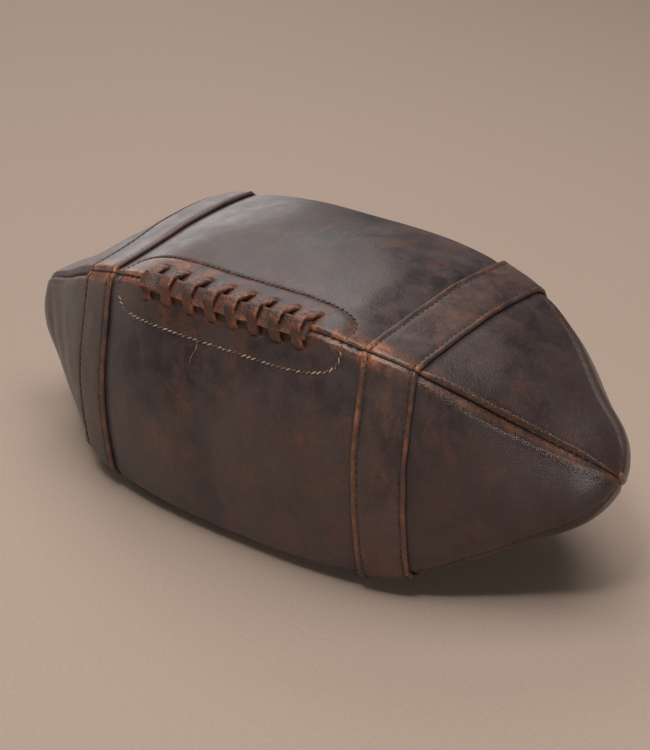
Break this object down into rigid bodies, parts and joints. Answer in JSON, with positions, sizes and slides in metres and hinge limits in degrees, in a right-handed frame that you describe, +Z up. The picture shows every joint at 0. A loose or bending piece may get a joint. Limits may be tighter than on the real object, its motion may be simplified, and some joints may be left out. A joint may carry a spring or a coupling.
{
  "type": "laced leather football",
  "caption": "Vintage pointed leather ball of four sewn panels with two sewn-on bands, a laced seam, cloth lining and an inner rubber bladder.",
  "frame": {"origin": "on the flat rest face of the bottom panel, under the middle of the ball", "axes": "+X along the ball from its left tip to its right tip, +Z up, -Y towards the front panel; the laced seam is at the front top"},
  "size_m": [0.2844, 0.1152, 0.1101],
  "materials": {
    "panel_leather": "dark brown pull-up leather, distressed, soft semi-gloss",
    "band_leather": "dark brown leather with rust-coloured worn edges",
    "lace_leather": "rust-brown worn lace leather",
    "inner_leather": "undyed suede side",
    "thread": "waxed brown thread",
    "lining_cloth": "plain-woven cotton",
    "bladder_rubber": "matt dark red rubber"
  },
  "bodies": {
    "root": {"band_left_back": "band_leather", "band_left_bottom": "band_leather", "band_left_front": "band_leather", "band_left_stitches": "thread", "band_left_top": "band_leather", "band_right_back": "band_leather", "band_right_bottom": "band_leather", "band_right_front": "band_leather", "band_right_stitches": "thread", "band_right_top": "band_leather", "bladder": "bladder_rubber", "bladder_stem": "bladder_rubber", "end_patch_left": "inner_leather", "end_patch_right": "inner_leather", "lace_crossing_1": "lace_leather", "lace_crossing_2": "lace_leather", "lace_crossing_3": "lace_leather", "lace_crossing_4": "lace_leather", "lace_crossing_5": "lace_leather", "lace_crossing_6": "lace_leather", "lace_crossing_7": "lace_leather", "lace_crossing_8": "lace_leather", "lace_patch_front": "inner_leather", "lace_patch_front_stitches": "thread", "lace_patch_top": "inner_leather", "lace_patch_top_stitches": "thread", "lace_strand": "lace_leather", "lace_tongue": "inner_leather", "lining_back": "lining_cloth", "lining_bottom": "lining_cloth", "lining_front": "lining_cloth", "lining_top": "lining_cloth", "panel_back": "panel_leather", "panel_bottom": "panel_leather", "panel_front": "panel_leather", "panel_top": "panel_leather", "seam_stitches_back_top": "thread", "seam_stitches_bottom_back": "thread", "seam_stitches_front_bottom": "thread", "seam_stitches_top_front": "thread", "stem_plug": "bladder_rubber", "stem_tie": "thread", "tip_tab_left": "lace_leather", "tip_tab_right": "lace_leather"}
  },
  "joints": []
}
